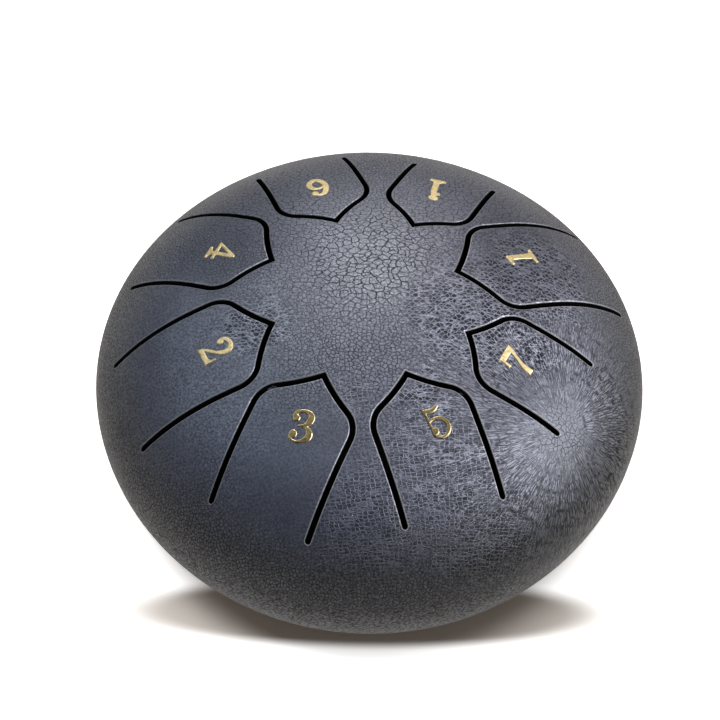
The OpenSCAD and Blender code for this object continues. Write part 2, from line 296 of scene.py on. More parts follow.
# Rows of faces between two runs of the same number of points
def bandFaces(a, b, closed=False):
    n = len(a)
    steps = range(n) if closed else range(n - 1)
    return [(a[k], a[(k + 1) % n], b[(k + 1) % n], b[k]) for k in steps]


# The tongues' driving sizes and, by note, their shares of them
tongueCut = {
    "slot": 1.5 * mm,
    "width": 30 * mm,
    "tipRing": 28 * mm,
    "rootRing": drumRadius - 8.5 * mm,
    "ogeeRadius": 7 * mm,  # rounded shoulder beside the tip
    "flankAngle": 63,
    "tipAngle": 48,
    "firstAngle": -114.8,
    "sideSteps": 34,
    "shoulderSteps": 12,
    "flankSteps": 14,
    "endSteps": 10,
    "rootStep": 1.2 * mm,
}
notes = {
    "1": {"place": 3, "width": 1, "tip": 0.89, "root": 1},
    "2": {"place": 7, "width": 0.955, "tip": 0.995, "root": 0.995},
    "3": {"place": 0, "width": 0.92, "tip": 1.025, "root": 0.96},
    "4": {"place": 6, "width": 0.92, "tip": 1.065, "root": 0.98},
    "5": {"place": 1, "width": 0.885, "tip": 0.97, "root": 0.905},
    "6": {"place": 5, "width": 0.88, "tip": 1.015, "root": 0.865},
    "7": {"place": 2, "width": 0.82, "tip": 1.015, "root": 0.86},
    "high_1": {"place": 4, "width": 0.83, "tip": 0.995, "root": 0.825},
}
for note in notes.values():
    note["angle"] = math.radians(tongueCut["firstAngle"] + note["place"] * 360 / len(notes))
    note["half"] = note["width"] * tongueCut["width"] / 2
    note["tipR"] = note["tip"] * tongueCut["tipRing"]
    note["rootR"] = note["root"] * tongueCut["rootRing"]


def turned(points, angle):
    c, s = math.cos(angle), math.sin(angle)
    return np.asarray(points) @ np.array([[c, s], [-s, c]])


# Half a tongue's outline, from root to tip, moved outward by grow
def ogeeHalf(note, grow):
    half, radius = note["half"], tongueCut["ogeeRadius"]
    flankA, tipA = math.radians(tongueCut["flankAngle"]), math.radians(tongueCut["tipAngle"])
    flankR = (half - radius * (1 - math.cos(flankA))) / (math.cos(tipA) - math.cos(flankA))
    reach = (radius + flankR) * math.sin(flankA) - flankR * math.sin(tipA)
    shoulderU, shoulderV = note["tipR"] + reach, half - radius
    flankU = shoulderU - (radius + flankR) * math.sin(flankA)
    flankV = shoulderV + (radius + flankR) * math.cos(flankA)
    endA = math.acos(flankV / (flankR - grow))
    side = np.linspace(note["rootR"], shoulderU, tongueCut["sideSteps"], endpoint=False)
    turn = np.linspace(0, flankA, tongueCut["shoulderSteps"], endpoint=False)
    bend = np.linspace(flankA, endA, tongueCut["flankSteps"])
    return np.vstack([
        np.column_stack([side, np.full(len(side), half + grow)]),
        np.column_stack([shoulderU - (radius + grow) * np.sin(turn),
                         shoulderV + (radius + grow) * np.cos(turn)]),
        np.column_stack([flankU + (flankR - grow) * np.sin(bend),
                         flankV - (flankR - grow) * np.cos(bend)]),
    ])


def mirroredRun(half):
    return np.vstack([half, half[-2::-1] * (1, -1)])


# One edge of the slot round a tongue, inset into the steel; the shell's edge has the
# slot's round ends
def slotEdge(note, inset, ofShell):
    slot = tongueCut["slot"] / 2
    if not ofShell:
        return mirroredRun(ogeeHalf(note, -slot - inset))
    beta = np.linspace(-math.pi / 2, math.pi / 2, tongueCut["endSteps"], endpoint=False)
    end = np.array([note["rootR"], note["half"]]) + onRing(slot + inset, beta)
    return mirroredRun(np.vstack([end, ogeeHalf(note, slot + inset)]))


# Runs across an edge's rounding: how far in, how far down, and how far it leans
def edgeRuns():
    radius = sheetMesh["edgeRadius"]
    slopes = [math.radians(a) for a in sheetMesh["edgeSlopes"]]
    return [(radius * (1 - math.sin(a)), radius * (1 - math.cos(a)), math.sin(a)) for a in slopes]


def rootLine(note):
    width = 2 * (note["half"] - tongueCut["slot"] / 2 - sheetMesh["edgeRadius"])
    count = math.ceil(width / tongueCut["rootStep"])
    across = np.linspace(-width / 2, width / 2, count + 1)[1:-1]
    return np.column_stack([np.full(len(across), note["rootR"]), across])


def nextIds(plan, points):
    return range(len(plan), len(plan) + len(points))


# Carries a plan on outward, from its outermost ring to a distance at its rim
def ringsOutward(plan, faces, start, rim, count):
    previous = range(sheetMesh["around"])
    for p in np.linspace(start, rim, count + 1)[1:]:
        ring = ringPlan(p)
        ids = nextIds(plan, ring)
        plan = np.vstack([plan, ring])
        faces += bandFaces(previous, ids, closed=True)
        previous = ids
    return plan, faces


# Adds the rounded edge runs of one slot to a plan whose innermost run is already in it
def roundedEdge(plan, faces, lift, lean, note, innermost, ofShell):
    runs = edgeRuns()
    inner = turned(slotEdge(note, runs[-1][0], ofShell), note["angle"])
    previous = None
    for inset, drop, tilt in runs[:-1]:
        points = turned(slotEdge(note, inset, ofShell), note["angle"])
        towards = points - inner
        towards = towards / np.maximum(np.linalg.norm(towards, axis=1, keepdims=True), tiny)
        ids = nextIds(plan, points)
        plan = np.vstack([plan, points])
        lift = np.concatenate([lift, np.full(len(points), -drop)])
        lean = np.vstack([lean, towards * tilt])
        if previous is not None:
            faces += bandFaces(previous, ids)
        previous = ids
    faces += bandFaces(previous, innermost)
    return plan, faces, lift, lean


# The edge of a slot inside its rounding, closed by the root line, and how much of it is edge
def tongueLoop(note, ofShell):
    run = slotEdge(note, sheetMesh["edgeRadius"], ofShell)
    return turned(np.vstack([run, rootLine(note)]), note["angle"]), len(run)


def makeUpperShell(materials):
    outer = ringPlan(sheetMesh["plateRadius"])
    loops = [tongueLoop(note, True) for note in notes.values()]
    plan, faces = fillPlan(outer, [loop for loop, _ in loops], sheetMesh["spacing"])
    lift, lean = np.zeros(len(plan)), np.zeros((len(plan), 2))
    first = len(outer)
    for note, (loop, count) in zip(notes.values(), loops):
        innermost = range(first, first + count)
        plan, faces, lift, lean = roundedEdge(plan, faces, lift, lean, note, innermost, True)
        first += len(loop)
    plan, faces = ringsOutward(plan, faces, sheetMesh["plateRadius"], upperRim,
                               sheetMesh["sideRings"])
    return thickSheet("upperShell", plan, faces, upperSheet, materials, lift, lean)


def makeTongue(name, note, materials):
    loop, count = tongueLoop(note, False)
    plan, faces = fillPlan(loop, [], sheetMesh["spacing"])
    lift, lean = np.zeros(len(plan)), np.zeros((len(plan), 2))
    plan, faces, lift, lean = roundedEdge(plan, faces, lift, lean, note, range(count), False)
    return thickSheet(name, plan, faces, upperSheet, materials, lift, lean)


def makeLowerShell(materials):
    outer = ringPlan(baseRadius)
    turns = np.linspace(0, 2 * math.pi, sheetMesh["holeSteps"], endpoint=False)
    soundHole = onRing(drumBody["soundHole"] / 2, turns)
    places = [onRing(footRing, math.radians(a)) for a in drumBody["footPlaces"]]
    nutHole = onRing(drumBody["nutHole"] / 2, turns[::sheetMesh["nutHoleStep"]])
    holes = [soundHole, *(place + nutHole for place in places)]
    plan, faces = fillPlan(outer, holes, sheetMesh["baseSpacing"])
    plan, faces = ringsOutward(plan, faces, baseRadius, lowerRim, sheetMesh["lowerRings"])
    return thickSheet("lowerShell", plan, faces, lowerSheet, materials, facing=-1)


# Turns a closed section of [r, z] points round the axis. Every face is smooth; one has the first
# material and the given normals where both ends of its line have a normal, and the others have
# the second material and the mesh's own normals.
def lathe(name, section, normals, materials):
    n, around = len(section), sheetMesh["around"]
    turns = np.arange(around) * 2 * math.pi / around
    vertices = [(r * math.cos(t), r * math.sin(t), z) for t in turns for r, z in section]
    faces, corners, indices = [], [], []
    for k in range(around):
        m = (k + 1) % around
        for j in range(n):
            i = (j + 1) % n
            flat = normals[j] is None or normals[i] is None
            faces.append((k * n + j, m * n + j, m * n + i, k * n + i))
            indices.append(1 if flat else 0)
            for turn, end in ((k, j), (m, j), (m, i), (k, i)):
                out, up = (0.0, 0.0) if flat else normals[end]
                corners.append((out * math.cos(turns[turn]), out * math.sin(turns[turn]), up))
    made = newObject(name, vertices, faces, materials, indices)
    made.data.normals_split_custom_set(corners)
    return made


def makeSeamWeld(materials):
    half, steps = drumBody["weldHeight"] / 2, sheetMesh["seamSteps"]
    upperA, lowerEndA = math.acos(half / sideRadius), math.acos(half / lowerRadius)
    section, normals = [], []
    for a in np.linspace(lowerEndA, math.pi / 2, steps)[:-1]:
        section.append((lowerR0 + lowerRadius * math.sin(a), equatorZ - lowerRadius * math.cos(a)))
        normals.append((math.sin(a), -math.cos(a)))
    for a in np.linspace(math.pi / 2, upperA, steps):
        section.append((sideR0 + sideRadius * math.sin(a), equatorZ + sideRadius * math.cos(a)))
        normals.append((math.sin(a), math.cos(a)))
    for a in np.linspace(0, math.pi, sheetMesh["beadSteps"]):
        bead = drumBody["beadHeight"] * math.sin(a)
        section.append((drumRadius - wall - bead, equatorZ + half * math.cos(a)))
        normals.append(None)
    return lathe("seamWeld", section, normals, materials)


print("shapes described")

# Numerals as strokes, in hundredths of a numeral's height: pairs are an outline, triples
# are points with a half width, and one triple alone is a disc
numeralCut = {
    "height": 9 * mm,
    "thickness": 0.25 * mm,
    "rim": 0.07 * mm,  # height of the face's edge above the coat
    "round": 0.32 * mm,  # how far in from the edge the face turns down
    "ring": 44.5 * mm,
    "edgeLean": 0.72,  # how far the face's edge turns outward, as a sine
    "unbent": 0.6,  # share of the numeral's height, outward from its middle, that sets an end point along the tongue
    "strokeSteps": 8,
    "discSteps": 64,
    "grid": 0.12 * mm,  # of the cells that make up its plan
    "margin": 2,  # this and the next four are shares of the grid
    "walk": 0.3,
    "nearest": 0.12,
    "onEdge": 0.3,
    "lookRound": 2.5,
}
numeralPlaces = {
    "1": {"ring": 1.01, "side": 0.2, "tilt": 6},
    "2": {"ring": 0.99, "side": 0.145, "tilt": 5},
    "3": {"ring": 0.98, "side": 0.09, "tilt": 0},
    "4": {"ring": 1.035, "side": 0.065, "tilt": 0},
    "5": {"ring": 0.935, "side": 0.29, "tilt": 4},
    "6": {"ring": 1.01, "side": 0.01, "tilt": 0},
    "7": {"ring": 0.96, "side": -0.045, "tilt": -3},
    "high_1": {"ring": 1.055, "side": 0.1, "tilt": 12},
}
numeralStrokes = {
    "1": [
        [[12, 49], [18, 46], [15, 10], [13, -20], [13, -30], [16, -34], [27, -37], [27, -46],
         [-28, -46], [-28, -37], [-14, -34], [-10, -30], [-9, -20], [-4, 10], [-3, 26],
         [-6, 32], [-12, 34], [-20, 34], [-21, 43]],
    ],
    "high_1": [
        [[-3, 50], [11, 50], [16, 36], [19, 20], [19, -22], [20, -31], [24, -35], [32, -37],
         [32, -49], [-19, -49], [-19, -38], [-8, -36], [-2, -31], [-1, -22], [-1, 20],
         [-4, 25], [-14, 27], [-15, 36], [-7, 39]],
        [[-1, 57, 11.5]],
        [[-1, 57, 11.5], [8, 57, 11.5]],
        [[8, 57, 11.5]],
    ],
    "2": [
        [[-24, 25, 10]],
        [[-25, 26, 9], [-28, 34, 7], [-20, 44, 6.5], [-5, 49, 6.5], [10, 44, 8], [18, 30, 9],
         [14, 15, 8], [4, 0, 5.5], [-8, -11, 5.5], [-19, -22, 5], [-30, -36, 5]],
        [[-37, -43], [27, -43], [28, -8], [22, -8], [19, -20], [14, -26], [7, -28],
         [-18, -28], [-31, -30]],
    ],
    "3": [
        [[-23, 18, 10.5]],
        [[-27, 20, 8], [-31, 27, 6.5], [-26, 36, 6], [-14, 43, 5.5], [0, 45, 6.5],
         [12, 41, 8.5], [18, 30, 10], [16, 18, 9.5], [10, 8, 7], [1, 3, 4], [-11, -2, 2.5]],
        [[2, 2, 3], [16, 1, 5.5], [27, -6, 9], [32, -18, 10.5], [27, -31, 9], [15, -40, 6],
         [3, -45, 4], [-9, -44, 3.5], [-17, -38, 4.5], [-19, -31, 5]],
        [[-13, -27, 12]],
    ],
    "4": [
        [[13, 55, 6]],
        [[12, 55, 5.5], [4, 42, 5.5], [-9, 21, 5], [-21, 2, 5], [-30, -11, 4]],
        [[14, 55, 5], [14, 45, 7], [14, 20, 7.5], [14, -34, 7.5]],
        [[-34, -12], [38, -12], [38, -1], [-28, -1]],
        [[-10, -35], [38, -35], [38, -26], [29, -25], [22, -20], [6, -20], [-1, -25],
         [-10, -26]],
    ],
    "5": [
        [[-25, 37, 7], [-10, 33, 7.5], [2, 32, 7], [13, 36, 6.5], [24, 43, 4]],
        [[-21, 40, 4.5], [-20, 11, 4], [-19, -22, 4]],
        [[-17, 3, 3], [-7, 7, 4.5], [6, 7, 5.5], [18, 2, 6.5], [28, -10, 7], [30, -26, 7],
         [23, -39, 6], [12, -47, 5], [0, -49, 4.5], [-12, -45, 4.5], [-19, -36, 5],
         [-19, -30, 5]],
        [[-13, -27, 11.5]],
    ],
    "6": [
        [[15, 29, 11.5]],
        [[14, 36, 5], [5, 41, 6], [-8, 39, 7.5], [-19, 29, 9], [-27, 10, 10], [-28, -13, 10],
         [-20, -33, 9], [-5, -43, 7.5], [11, -36, 8.5], [19, -21, 9.5], [19, -12, 9.5]],
        [[18, -25, 9], [20, -16, 9.5], [13, 0, 8], [-1, 7, 6], [-12, 5, 4.5], [-23, 1, 4]],
    ],
    "7": [
        [[-34, 44], [31, 44], [28, 34], [22, 26], [-34, 26]],
        [[-29, 38, 5], [-30, 22, 5], [-33, 6, 5.5]],
        [[21, 35, 7], [17, 26, 7], [10, 12, 6], [3, -3, 5.7], [-4, -17, 7], [-9, -34, 9],
         [-10, -53, 10]],
    ],
}


def smoothRow(row):
    row = np.array(row, float)
    if len(row) < 3:
        return row
    ends = np.vstack([2 * row[0] - row[1], row, 2 * row[-1] - row[-2]])
    points = []
    for k in range(len(row) - 1):
        a, b, c, d = ends[k:k + 4]
        for step in range(numeralCut["strokeSteps"]):
            t = step / numeralCut["strokeSteps"]
            points.append((2 * b + (c - a) * t + (2 * a - 5 * b + 4 * c - d) * t**2
                           + (3 * b - a - 3 * c + d) * t**3) / 2)
    return np.vstack([points, row[-1]])


def strokeOutline(stroke):
    unit = numeralCut["height"] / 100
    if len(stroke[0]) == 2:
        return np.array(stroke, float) * unit
    if len(stroke) == 1:
        x, y, radius = stroke[0]
        turns = np.linspace(0, 2 * math.pi, numeralCut["discSteps"], endpoint=False)
        return (np.array([x, y]) + onRing(radius, turns)) * unit
    row = smoothRow(stroke)
    along = np.vstack([row[1:2] - row[0:1], row[2:] - row[:-2], row[-1:] - row[-2:-1]])[:, :2]
    along = along / np.linalg.norm(along, axis=1, keepdims=True)
    across = np.column_stack([-along[:, 1], along[:, 0]]) * row[:, 2:]
    return np.vstack([row[:, :2] + across, (row[:, :2] - across)[::-1]]) * unit


# Points every fine step along a closed outline
def walkedOutline(loop, step):
    points = []
    for a, b in zip(loop, np.roll(loop, -1, 0)):
        n = max(1, math.ceil(np.linalg.norm(b - a) / step))
        points.append(a + (b - a) * (np.arange(n) / n)[:, None])
    return np.vstack(points)


# A numeral's plan as clipped grid cells, with each point's distance inside the edge and
# the direction out of it
def numeralPlan(strokes):
    grid = numeralCut["grid"]
    outlines = [strokeOutline(stroke) for stroke in strokes]
    rims = []
    for k, outline in enumerate(outlines):
        points = walkedOutline(outline, numeralCut["walk"] * grid)
        for j, other in enumerate(outlines):
            if j != k:
                points = points[~insideLoop(points, other)]
        rims.append(points)
    rims = np.vstack(rims)
    near = pointTree(rims)
    margin = numeralCut["margin"] * grid
    low, high = rims.min(0) - margin, rims.max(0) + margin
    across, up = np.arange(low[0], high[0], grid), np.arange(low[1], high[1], grid)
    points = np.array([(x, y) for y in up for x in across])
    inside = np.zeros(len(points), bool)
    for outline in outlines:
        inside |= insideLoop(points, outline)
    depth = np.array([near.find((*p, 0))[2] for p in points])
    depth = np.where(inside, 1, -1) * np.maximum(depth, numeralCut["nearest"] * grid)
    wide = len(across)
    plan, known, faces = [], {}, []

    def pointOn(a, b):
        key = (min(a, b), max(a, b))
        if key not in known:
            share = depth[a] / (depth[a] - depth[b]) if a != b else 0
            known[key] = len(plan)
            plan.append(points[a] + (points[b] - points[a]) * share)
        return known[key]

    for row in range(len(up) - 1):
        for column in range(wide - 1):
            first = row * wide + column
            corners = (first, first + 1, first + wide + 1, first + wide)
            if not any(depth[c] > 0 for c in corners):
                continue
            face = []
            for a, b in zip(corners, corners[1:] + corners[:1]):
                if depth[a] > 0:
                    face.append(pointOn(a, a))
                if (depth[a] > 0) != (depth[b] > 0):
                    face.append(pointOn(a, b))
            faces.append(tuple(face))
    plan = np.array(plan)
    found = [near.find((*p, 0)) for p in plan]
    inward = np.array([f[2] for f in found])
    out = np.array([(f[0].x, f[0].y) for f in found]) - plan
    edge = inward < numeralCut["onEdge"] * grid
    middle = np.array([plan[list(face)].mean(0) for face in faces])
    faceTree = pointTree(middle)
    for k in np.nonzero(edge)[0]:
        around = faceTree.find_range((*plan[k], 0), numeralCut["lookRound"] * grid)
        out[k] = plan[k] - np.mean([(p[0].x, p[0].y) for p in around], 0)
    out = out / np.maximum(np.linalg.norm(out, axis=1, keepdims=True), tiny)
    return plan, faces, np.where(edge, 0, inward), out


# The coat under a numeral, as a sheet without thickness
def coatAt(p, grow):
    return (p, *domeAt(p, grow))


def makeNumeral(name, key, materials):
    note, place = notes[key], numeralPlaces[key]
    local, faces, inward, out = numeralPlan(numeralStrokes[key])
    tilt = math.radians(90 + place["tilt"])
    offset = np.array([numeralCut["ring"] * place["ring"], numeralCut["height"] * place["side"]])
    plan = turned(turned(local, tilt) + offset, note["angle"])
    out = turned(turned(out, tilt), note["angle"])
    share = np.clip(inward / numeralCut["round"], 0, 1)
    rise = numeralCut["thickness"] - numeralCut["rim"]
    lift = numeralCut["rim"] + rise * np.sqrt(1 - (1 - share)**2)
    lean = out * (numeralCut["edgeLean"] * (1 - share))[:, None]
    return thickSheet(name, plan, faces, coatAt, materials, lift, lean, depth=0.0)


# A node's output in a material. Sums and products with it add the nodes for them.
class Level:
    def __init__(self, socket):
        self.socket = socket

    def __add__(self, other):
        return worked("ADD", self, other)

    def __sub__(self, other):
        return worked("SUBTRACT", self, other)

    def __rsub__(self, other):
        return worked("SUBTRACT", other, self)

    def __mul__(self, other):
        return worked("MULTIPLY", self, other)

    __radd__, __rmul__ = __add__, __mul__


# Shader helpers: given holds a node's inputs, each a plain value or a level
def connect(node, given):
    for key, value in given.items():
        if isinstance(value, Level):
            node.id_data.links.new(value.socket, node.inputs[key])
        else:
            node.inputs[key].default_value = value


def added(kind, given, output=0, **settings):
    tree = next(value.socket.id_data for value in given.values() if isinstance(value, Level))
    node = tree.nodes.new(kind)
    for key, value in settings.items():
        setattr(node, key, value)
    connect(node, given)
    return Level(node.outputs[output])


def worked(operation, a, b=0.0):
    return added("ShaderNodeMath", {0: a, 1: b}, operation=operation)


def greater(a, b):
    return worked("MAXIMUM", a, b)


def between(share, a, b):
    return added("ShaderNodeMix", {0: share, 2: a, 3: b})


def blended(share, a, b):
    return added("ShaderNodeMix", {0: share, 6: a, 7: b}, 2, data_type="RGBA")


def eased(value, low, high, start=0.0, end=1.0):
    given = {"Value": value, "From Min": low, "From Max": high, "To Min": start, "To Max": end}
    return added("ShaderNodeMapRange", given, interpolation_type="SMOOTHSTEP")


def moved(operation, a, b):
    return added("ShaderNodeVectorMath", {0: a, 1: b}, operation=operation)


def scaled(vector, scale):
    return added("ShaderNodeVectorMath", {0: vector, "Scale": scale}, operation="SCALE")


def measured(operation, a, b=(0, 0, 0)):
    return added("ShaderNodeVectorMath", {0: a, 1: b}, "Value", operation=operation)


def parted(vector):
    node = added("ShaderNodeSeparateXYZ", {0: vector}).socket.node
    return [Level(output) for output in node.outputs]


def noisy(vector, scale, detail=2.0, rough=0.5, output=0):
    given = {"Vector": vector, "Scale": scale, "Detail": detail, "Roughness": rough}
    return added("ShaderNodeTexNoise", given, output)


# Distance to the nearest border between cells
def creased(vector, scale, randomness=1.0, flat=True):
    given = {"Vector": vector, "Scale": scale, "Randomness": randomness}
    return added("ShaderNodeTexVoronoi", given, "Distance", feature="DISTANCE_TO_EDGE",
                 voronoi_dimensions="2D" if flat else "3D")


# 0 along winding lines and more away from them
def windingLines(vector):
    return worked("ABSOLUTE", noisy(vector, 1.0, 0.0) - 0.5)


def warped(place, scale, size):
    bend = moved("SUBTRACT", noisy(place, scale, output="Color"), (0.5, 0.5, 0.5))
    return moved("ADD", place, scaled(bend, size))


def turnedPlace(place, turn, scale=(1, 1, 1)):
    given = {"Vector": place, "Rotation": (0, 0, math.radians(-turn)), "Scale": scale}
    return added("ShaderNodeMapping", given)


def relief(height, distance):
    return added("ShaderNodeBump", {"Height": height, "Strength": 1.0, "Distance": distance})


def placeOn(tree, kind="Object"):
    return Level(tree.nodes.new("ShaderNodeTexCoord").outputs[kind])


# A new material with its shader, and the place on the piece in millimetres
def newMaterial(name):
    material = bpy.data.materials.new(name)
    material.use_nodes = True
    tree = material.node_tree
    tree.nodes.clear()
    shader = tree.nodes.new("ShaderNodeBsdfPrincipled")
    output = tree.nodes.new("ShaderNodeOutputMaterial")
    tree.links.new(shader.outputs[0], output.inputs[0])
    return material, shader, scaled(placeOn(tree), 1 / mm)


# Leather-grain paint on steel. Places are in millimetres and scales are per millimetre; a
# noise is its scale, detail and roughness; a fade is where a share starts and ends.
coatLook = {
    "sheet": (0.041, 0.043, 0.070),
    # The left of the sheet is darker and cooler: painted shade
    "coolShade": (0.029, 0.038, 0.066),  # the sheet's colour on the left
    "coolShadeFade": (-30, 40),
    # Low down the sheet turns darker and less glossy: painted shade on the lower body
    "side": (0.0168, 0.0175, 0.0208),
    "sideShadeFade": (55.0, 79.0),  # heights
    "cloud": (0.05, 3.0, 0.5),
    "cloudTone": 0.5,
    "patch": (0.16, 3.0, 0.6),
    "patchTone": 0.35,
    "evenTone": 0.575,
    "roughness": 0.32,
    "patchRoughness": 0.12,
    "dipRoughness": 0.24,
    "ior": 1.9,
    "tint": (0.945, 0.950, 1.0),
    "gloss": 0.5,  # specular level on the top
    "sideShadeGloss": 0.145,
    "crown": 84.3,
    "unrolled": 0.75,  # share of the drop below the crown that widens the unrolled top
}
# The same coat on the rounded edge of a cut, paler and glossier: a painted highlight,
# stronger on the right and weaker at the back
edgeHighlightLook = {
    "colour": (0.46, 0.47, 0.50),
    "share": (0.14, 0.48),  # on the left and on the right
    "shareFade": (-45, 30),
    "back": 0.25,  # what is left of it at the back
    "backFade": (0, 40),
    "gloss": 0.9,
    "roughness": 0.20,
}
# Each pattern's cell size, its line width as a share of that, its relief, and the tone in
# its dips and on its tops, where the darker dips are partly painted shade and the lighter tops
# partly a painted sheen; a warp is a scale and a size. The rays' turns say how many run
# out in each ring, and their swaps where one ring gives way to the next.
coatGrain = {
    "wide": {"size": 1.90, "line": 0.13, "depth": 0.040, "tones": (0.36, 1.13),
             "warp": (0.28, 3.0), "turn": -32, "scale": (0.82, 1.1, 1.0)},
    "fine": {"size": 1.20, "line": 0.21, "depth": 0.036, "tones": (0.32, 1.32),
             "warp": (0.9, 0.8), "sideScale": (0.75, 0.75, 1.6)},
    "crossed": {"size": 1.45, "line": 0.15, "depth": 0.060, "tones": (0.26, 2.15), "turn": 46,
                "bend": 1.0, "squeeze": 1.06, "net": 0.86, "stroke": 0.95, "strokeLine": 0.062},
    "ladder": {"size": 1.50, "line": 0.13, "depth": 0.054, "tones": (0.52, 1.74), "turn": 6,
               "bend": 2.6, "squeeze": 1.25, "net": 1.0, "stroke": 0.85, "strokeLine": 0.055},
    "fan": {"size": 1.70, "line": 0.12, "depth": 0.026, "tones": (0.46, 1.06),
            "warp": (0.28, 2.4)},
    "rays": {"turns": (15.0, 27.0, 46.0), "swaps": ((11.0, 17.0), (28.0, 38.0)), "stretch": 0.28,
             "wobble": (0.3, 0.9), "line": 0.20, "lineFloor": 0.24, "vein": (0.010, 0.120),
             "veinFloor": 0.08, "veinScale": (1.15, 0.66, 1.0), "depth": 0.050,
             "tones": (0.14, 1.86)},
    "pebble": {"size": 0.62, "noise": (2.0, 0.6), "depth": 0.020, "tones": (0.66, 1.34),
               "fade": (0.30, 0.70)},
    # Painted shade: a darker tone on tongues 1 and 4
    "shade": {"depth": 0.0, "tones": (1.0, 0.76)},
}
# What the two crossing patterns share
crossingLook = {
    "netWarp": 0.16,
    "strokeWarp": 0.10,
    "randomness": 0.45,
    "strokeScale": 0.16,
    "strokesInCell": 0.806,
}
# Where each pattern lies on the unrolled top: centre, inner radius and reach
coatPatches = {
    "wide": [((0, 15), 12, 40), ((32, 42), 10, 40), ((-30, 44), 10, 42)],
    "crossed": [((30, -6), 10, 27), ((51, 12), 12, 28), ((47, -14), 3, 16), ((-34, -9), 2, 18),
                ((15, -33), 3, 13)],
    "ladder": [((19, -56), 12, 25), ((37, -79), 10, 26), ((2, -74), 10, 28), ((-6, -34), 0, 12)],
    "fan": [((59, -41), 6, 13)],
    "rays": [((59, -41), 24, 60)],
    "faint": [((52, -44), 12, 32)],
    "calm": [((-58, -22), 22, 52), ((-20, -58), 12, 34)],
    # Painted shade on tongues 1 and 4
    "shade": [((46, 17), 8, 28), ((-47, 22), 6, 26)],
}
# How much a pattern takes away from the one below it, and where lines break up
coatShares = {
    "patchWarp": (0.12, 20.0),
    "topFade": (47.0, 55.0),  # heights between the side's grain and the top's
    "breaks": (0.16, 3.0, 0.6),
    "breakFade": (0.34, 0.52, 0.55, 1.0),
    "calmOverFine": 0.76,
    "faintOverRays": 0.35,
    "linesOverFine": 0.85,
    "linesOverWide": 0.8,
    "fanOverFine": 0.8,
    "wideOverFine": 0.62,
    "smoothOverPebble": 0.75,
}


# The top unrolled flat, so that cells keep their size down the slope
def unrolled(place):
    flat = moved("MULTIPLY", place, (1, 1, 0))
    radius = measured("LENGTH", flat)
    drop = (coatLook["crown"] - parted(place)[2]) * coatLook["unrolled"]
    return scaled(flat, worked("DIVIDE", radius + drop, radius))


def patchMask(flat, spots):
    found = 0.0
    for centre, core, reach in spots:
        away = measured("DISTANCE", flat, (*centre, 0))
        found = greater(eased(away, core, reach, 1.0, 0.0), found)
    return found


# Plateaus between creases: 1 on a plateau and 0 in a crease
def cells(place, look, randomness=1.0, flat=True):
    return eased(creased(place, 1 / look["size"], randomness, flat), 0.0, look["line"])


# Raised lines that cross nearly square, with longer strokes among them
def crossing(flat, look):
    bent = warped(flat, crossingLook["netWarp"], look["bend"])
    bent = turnedPlace(bent, look["turn"], (1.0, look["squeeze"], 1.0))
    top = (1 - cells(bent, look, crossingLook["randomness"])) * look["net"]
    bent = warped(flat, crossingLook["strokeWarp"], look["bend"])
    scale = (crossingLook["strokeScale"], crossingLook["strokesInCell"] / look["size"], 1.0)
    for turn in (look["turn"], look["turn"] - 90):
        line = windingLines(turnedPlace(bent, turn, scale))
        top = greater(top, eased(line, 0.0, look["strokeLine"], look["stroke"], 0.0))
    return top


# Creases and veins that run out from the middle of the fan, more of them further out
def rays(flat, look):
    offset = moved("SUBTRACT", flat, (*coatPatches["fan"][0][0], 0))
    x, y, _ = parted(offset)
    turn, reach = worked("ARCTAN2", y, x), measured("LENGTH", offset)
    wobbleScale, wobble = look["wobble"]
    drift = moved("MULTIPLY", noisy(flat, wobbleScale, output="Color"), (wobble, wobble, 0))
    rings = []
    for count in look["turns"]:
        place = added("ShaderNodeCombineXYZ", {0: turn * count, 1: reach * look["stretch"]})
        place = moved("ADD", place, drift)
        cell = eased(creased(place, 1.0), 0.0, look["line"], look["lineFloor"], 1.0)
        vein = windingLines(moved("MULTIPLY", place, look["veinScale"]))
        vein = eased(vein, *look["vein"], look["veinFloor"], 1.0)
        rings.append(worked("MINIMUM", cell, vein))
    top = rings[0]
    for ring, swap in zip(rings[1:], look["swaps"]):
        top = between(eased(reach, *swap), top, ring)
    return top


# Every pattern with its share at each place
def coatLayers(place):
    share, grain = coatShares, coatGrain
    flat = unrolled(place)
    spread = warped(flat, *share["patchWarp"])
    mask = {key: patchMask(spread, spots) for key, spots in coatPatches.items()}
    onTop = eased(parted(place)[2], *share["topFade"])
    broken = eased(noisy(flat, *share["breaks"]), *share["breakFade"])
    crossed, ladder = mask["crossed"] * broken * onTop, mask["ladder"] * broken * onTop
    lined, fanned = greater(crossed, ladder), greater(mask["fan"], mask["rays"])
    wide, fine, fan, pebble = (grain[key] for key in ("wide", "fine", "fan", "pebble"))
    widePlace = turnedPlace(warped(flat, *wide["warp"]), wide["turn"], wide["scale"])
    around = turnedPlace(warped(place, *fine["warp"]), 0, fine["sideScale"])
    fineTop = between(onTop, cells(around, fine, flat=False),
                      cells(warped(flat, *fine["warp"]), fine))
    pebbles = noisy(place, 1 / pebble["size"], *pebble["noise"])
    return {
        "wide": (cells(widePlace, wide), mask["wide"] * (1 - lined * share["linesOverWide"])),
        "fine": (fineTop, (1 - lined * share["linesOverFine"])
                 * (1 - fanned * share["fanOverFine"])
                 * (1 - mask["calm"] * share["calmOverFine"])
                 * (1 - mask["wide"] * share["wideOverFine"])),
        "crossed": (crossing(flat, grain["crossed"]), crossed),
        "ladder": (crossing(flat, grain["ladder"]), ladder),
        "fan": (cells(warped(flat, *fan["warp"]), fan), mask["fan"]),
        "rays": (rays(flat, grain["rays"]), mask["rays"] * (1 - mask["fan"])
                 * (1 - mask["faint"] * share["faintOverRays"])),
        "pebble": (eased(pebbles, *pebble["fade"]),
                   1 - greater(mask["wide"], fanned) * share["smoothOverPebble"]),
        "shade": (1.0, mask["shade"]),
    }


